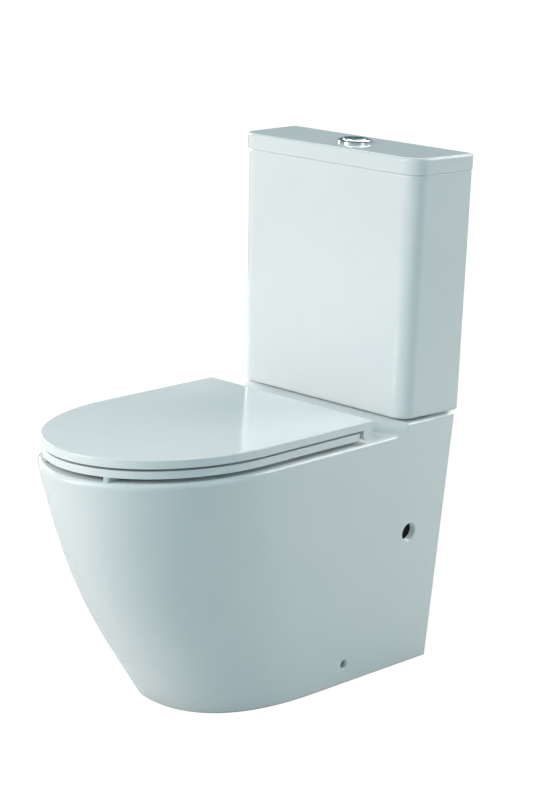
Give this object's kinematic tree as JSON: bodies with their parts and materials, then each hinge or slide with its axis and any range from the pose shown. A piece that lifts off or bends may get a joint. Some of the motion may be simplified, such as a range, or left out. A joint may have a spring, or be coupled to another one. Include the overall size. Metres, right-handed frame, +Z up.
{
  "type": "close coupled toilet",
  "caption": "Skirted floor-standing toilet pan with a cistern on its rear ledge, a hinged seat and cover, dual push button, flush valve and fill valve.",
  "frame": {"origin": "on the floor at the centre of the object's footprint box, in its plane of symmetry", "axes": "+Z up, -Y out of the front of the pan, +Y towards the wall, +X to the right seen from the front"},
  "size_m": [0.381, 0.6838, 0.849],
  "materials": {
    "glaze": "white vitreous china with a glossy glaze",
    "seat_plastic": "white moulded seat plastic, polished",
    "chrome": "bright chrome plate",
    "steel": "plain stainless steel",
    "rubber": "black moulded rubber",
    "valve_white": "white moulded plastic",
    "valve_blue": "blue moulded plastic",
    "valve_grey": "grey moulded plastic"
  },
  "bodies": {
    "root": {"pan": "glaze", "cistern_tank": "glaze", "left_hinge_post": "chrome", "right_hinge_post": "chrome", "hinge_pins": "steel", "seat_bolts": "steel", "coupling_bolts": "steel", "coupling_metal_washers": "steel", "coupling_wing_nuts": "steel", "floor_brackets": "steel", "side_screws": "steel", "fill_valve_lever_pin": "steel", "coupling_gasket": "rubber", "coupling_rubber_washers": "rubber", "flush_valve_washer": "rubber", "fill_valve_washer": "rubber", "seat_bolt_bungs": "rubber", "flush_valve_base": "valve_white", "flush_valve_tower": "valve_white", "fill_valve_riser": "valve_white", "fill_valve_shank": "valve_white", "side_screw_sleeves": "valve_white", "seat_bolt_nuts": "valve_white", "flush_valve_head": "valve_blue", "fill_valve_head": "valve_blue", "flush_valve_back_nut": "valve_grey", "fill_valve_back_nut": "valve_grey"},
    "seat": {"seat_ring": "seat_plastic", "seat_buffers": "rubber"},
    "cover": {"seat_cover": "seat_plastic", "cover_buffers": "rubber", "left_hinge_damper": "valve_white", "right_hinge_damper": "valve_white"},
    "lid": {"cistern_lid": "glaze", "button_housing": "valve_white", "button_bezel": "chrome", "button_lock_nut": "valve_grey"},
    "full_button": {"full_flush_button": "chrome", "full_flush_rod": "valve_white"},
    "half_button": {"half_flush_button": "chrome", "half_flush_rod": "valve_white"},
    "full_plunger": {"full_flush_plunger": "valve_blue"},
    "half_plunger": {"half_flush_plunger": "valve_blue"},
    "flush_core": {"flush_valve_core": "valve_grey", "flush_valve_seal": "rubber"},
    "float": {"fill_valve_float": "valve_grey", "fill_valve_link": "valve_grey"},
    "fill_lever": {"fill_valve_lever": "valve_blue"}
  },
  "joints": [
    {"name": "seat_hinge", "type": "hinge", "parent": "root", "child": "seat", "pos_m": [0, 0.133, 0.424], "axis": [1, 0, 0], "range_deg": [-95, 0]},
    {"name": "cover_hinge", "type": "hinge", "parent": "seat", "child": "cover", "pos_m": [0, 0.133, 0.424], "axis": [-1, 0, 0], "range_deg": [0, 96]},
    {"name": "lid_lift", "type": "slide", "parent": "root", "child": "lid", "axis": [0, 0, 1], "range_m": [0, 0.1]},
    {"name": "full_button_press", "type": "slide", "parent": "lid", "child": "full_button", "axis": [0, 0, 1], "range_m": [-0.008, 0], "stiffness_N_per_m": 400, "springref_m": 0.004},
    {"name": "half_button_press", "type": "slide", "parent": "lid", "child": "half_button", "axis": [0, 0, 1], "range_m": [-0.008, 0], "stiffness_N_per_m": 400, "springref_m": 0.004},
    {"name": "full_plunger_press", "type": "slide", "parent": "root", "child": "full_plunger", "axis": [0, 0, 1], "range_m": [-0.008, 0]},
    {"name": "half_plunger_press", "type": "slide", "parent": "root", "child": "half_plunger", "axis": [0, 0, 1], "range_m": [-0.008, 0]},
    {"name": "core_lift", "type": "slide", "parent": "root", "child": "flush_core", "axis": [0, 0, 1], "range_m": [0, 0.024]},
    {"name": "float_drop", "type": "slide", "parent": "root", "child": "float", "axis": [0, 0, 1], "range_m": [-0.015, 0], "stiffness_N_per_m": 300, "springref_m": 0.01},
    {"name": "lever_tilt", "type": "hinge", "parent": "root", "child": "fill_lever", "pos_m": [-0.136, 0.282, 0.77], "axis": [0, 1, 0], "range_deg": [0, 18]}
  ],
  "couplings": [
    {"joint": "full_plunger_press", "follows": "full_button_press", "ratio": 1},
    {"joint": "core_lift", "follows": "full_button_press", "ratio": -3},
    {"joint": "half_plunger_press", "follows": "half_button_press", "ratio": 1},
    {"joint": "lever_tilt", "follows": "float_drop", "rad_per_m": -20}
  ]
}
